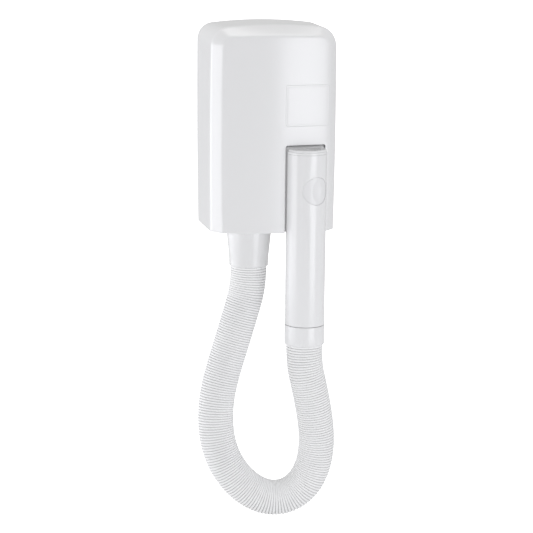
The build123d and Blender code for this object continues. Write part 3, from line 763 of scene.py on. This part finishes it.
def hose_plastic():
    """Soft white plastic, with painted shade: the grooves between the rings are painted darker and greyer."""
    finish = Finish("hose_soft_white")
    groove = finish.add("ShaderNodeAttribute", attribute_name="groove")
    # Painted shade: the grooves are coloured 0.62 grey against the 0.90 crests, standing for the shade between
    # the rings.
    crest, groove_painted_shade = (0.90, 0.90, 0.90), (0.62, 0.62, 0.62)
    # depth is how much painted shade a point gets, read from the groove mark.
    depth = finish.span(groove.outputs["Fac"], 0.0, 1.0, 0.1, 1.0)
    cloud = finish.span(finish.noise(22.0, 3.0), 0, 1, 0.35, 0.65)
    crest_colour = finish.blend(cloud, crest, (0.87, 0.87, 0.875))
    finish.join(finish.blend(depth, crest_colour, groove_painted_shade), finish.surface.inputs["Base Color"])
    rough = finish.span(finish.noise(150.0, 3.0), 0.42, 0.56, 0.3, 0.7)
    finish.join(rough, finish.surface.inputs["Roughness"])
    finish.join(finish.bump(finish.noise(1100.0, 2.0), 0.10, 0.0002), finish.surface.inputs["Normal"])
    return finish.material


def make_finishes():
    white = (0.82, 0.82, 0.825)
    return {
        "housing_white": gloss_plastic("housing_gloss_white", white, (0.812, 0.812, 0.817), 0.28, 0.50),
        "handset_white": gloss_plastic("handset_gloss_white", white, (0.812, 0.812, 0.82), 0.19, 0.20),
        "button_white": gloss_plastic("button_satin_white", (0.81, 0.81, 0.82), (0.80, 0.80, 0.81), 0.34, 0.1),
        "socket_white": gloss_plastic("socket_gloss_white", (0.80, 0.80, 0.80), (0.77, 0.77, 0.775), 0.24, 0.15),
        "hose_white": hose_plastic(),
        "plate_grey": matt_plastic("plate_grained_grey", (0.55, 0.55, 0.55), (0.50, 0.50, 0.50)),
        # The dock liner's near-black brown is partly its own dark plastic and partly painted shade for the gap
        # round the handset.
        "dock_grey": matt_plastic("dock_dark_painted_shade", (0.016, 0.012, 0.010), (0.011, 0.009, 0.008), 0.7),
        "rubber_grey": matt_plastic("pad_rubber", (0.045, 0.045, 0.045), (0.035, 0.035, 0.035), 0.75),
        "inner_black": matt_plastic("inner_black_plastic", (0.03, 0.03, 0.03), (0.022, 0.022, 0.022), 0.5),
        "inner_natural": matt_plastic("inner_natural_plastic", (0.62, 0.59, 0.52), (0.56, 0.53, 0.47), 0.45),
        "filter_mesh": matt_plastic("filter_dark_mesh", (0.05, 0.05, 0.05), (0.03, 0.03, 0.03), 0.8),
        "steel": metal("drawn_steel", (0.62, 0.62, 0.61), 0.30),
        "magnet_iron": metal("dull_iron", (0.22, 0.22, 0.23), 0.50),
        "bush_brass": metal("turned_brass", (0.72, 0.55, 0.28), 0.28),
        "brush_carbon": matt_plastic("carbon_block", (0.03, 0.03, 0.03), (0.05, 0.05, 0.05), 0.6),
        "heater_board": matt_plastic("heater_board_buff", (0.58, 0.52, 0.38), (0.50, 0.45, 0.32), 0.7),
        "heater_wire": metal("heater_wire_grey", (0.40, 0.37, 0.34), 0.40),
        "board_green": matt_plastic("board_green_lacquer", (0.02, 0.14, 0.06), (0.02, 0.11, 0.05), 0.35),
        "board_black": matt_plastic("board_parts_black", (0.03, 0.03, 0.03), (0.04, 0.04, 0.05), 0.4),
    }


def dress(finishes, made):
    """Every frame node and every made piece gets the finish of its slot."""
    slot_of = {s["node"]: s["material_slot"] for s in frame["record"]["subparts"]}
    for name, node in frame["nodes"].items():
        node.data.materials.clear()
        node.data.materials.append(finishes[slot_of[name]])
    for piece, slot in made:
        piece.data.materials.clear()
        piece.data.materials.append(finishes[slot])


# ---------------------------------------------------------------- studio


def softbox(name, azimuth, low, high, distance, width, radiance):
    """An upright softbox that faces the dryer; azimuth 0 is straight in front, 90 to its right."""
    a = radians(azimuth)
    way = Vector((sin(a), -cos(a), 0))
    light = bpy.data.lights.new(name, "AREA")
    light.shape = "RECTANGLE"
    light.size, light.size_y = width, high - low
    light.energy = radiance * 4 * width * (high - low)
    light.color = SOFTBOX_TINT
    lamp = bpy.data.objects.new(name, light)
    bpy.context.scene.collection.objects.link(lamp)
    lamp.location = way * distance + Vector((0, -0.06, (low + high) / 2))
    lamp.rotation_mode = "QUATERNION"
    lamp.rotation_quaternion = (-way).to_track_quat("-Z", "Y")


def make_studio():
    world = bpy.data.worlds.new("studio_air")
    bpy.context.scene.world = world
    world.use_nodes = True
    air = world.node_tree
    seen = air.nodes.new("ShaderNodeLightPath")
    level = air.nodes.new("ShaderNodeMapRange")
    air.links.new(seen.outputs["Is Camera Ray"], level.inputs["Value"])
    level.inputs["To Min"].default_value = AIR_LEVEL
    level.inputs["To Max"].default_value = 1.0
    air.nodes["Background"].inputs["Color"].default_value = (1, 1, 1, 1)
    air.links.new(level.outputs["Result"], air.nodes["Background"].inputs["Strength"])
    bpy.ops.object.select_all(action="DESELECT")
    bpy.ops.mesh.primitive_plane_add(size=60, location=(0, 0, FLOOR_HEIGHT))
    floor = bpy.context.object
    floor.name = "pale_floor"
    material = bpy.data.materials.new("pale_floor")
    material.use_nodes = True
    surface = material.node_tree.nodes["Principled BSDF"]
    surface.inputs["Base Color"].default_value = (0.9, 0.9, 0.9, 1)
    surface.inputs["Roughness"].default_value = 1.0
    surface.inputs["Emission Color"].default_value = (1, 1, 1, 1)
    path = material.node_tree.nodes.new("ShaderNodeLightPath")
    material.node_tree.links.new(path.outputs["Is Camera Ray"], surface.inputs["Emission Strength"])
    floor.data.materials.append(material)
    softbox("left_box", -102, -0.8, 0.3, 2.0, 2.8, 1.8)
    softbox("right_box", 30, -0.75, 0.35, 2.0, 1.1, 2.4)
    ceiling = bpy.data.lights.new("ceiling_box", "AREA")
    ceiling.shape = "RECTANGLE"
    ceiling.size, ceiling.size_y = CEILING_X, CEILING_Y
    ceiling.energy = CEILING_RADIANCE * 4 * CEILING_X * CEILING_Y
    lamp = bpy.data.objects.new("ceiling_box", ceiling)
    bpy.context.scene.collection.objects.link(lamp)
    lamp.location = (0, 0.25, 2.0)
    bpy.context.scene.view_settings.view_transform = "Standard"


make_camera()
made = [(make_hose(), "hose_white")]
made += [(make_housing(), "housing_white"), (make_blank(), "housing_white"), (make_socket(), "socket_white")]
made += [(make_handset(), "handset_white"), (make_cap(), "handset_white"), (make_button(), "button_white")]
made += [(make_collar(), "handset_white")]
dress(make_finishes(), made)
make_studio()
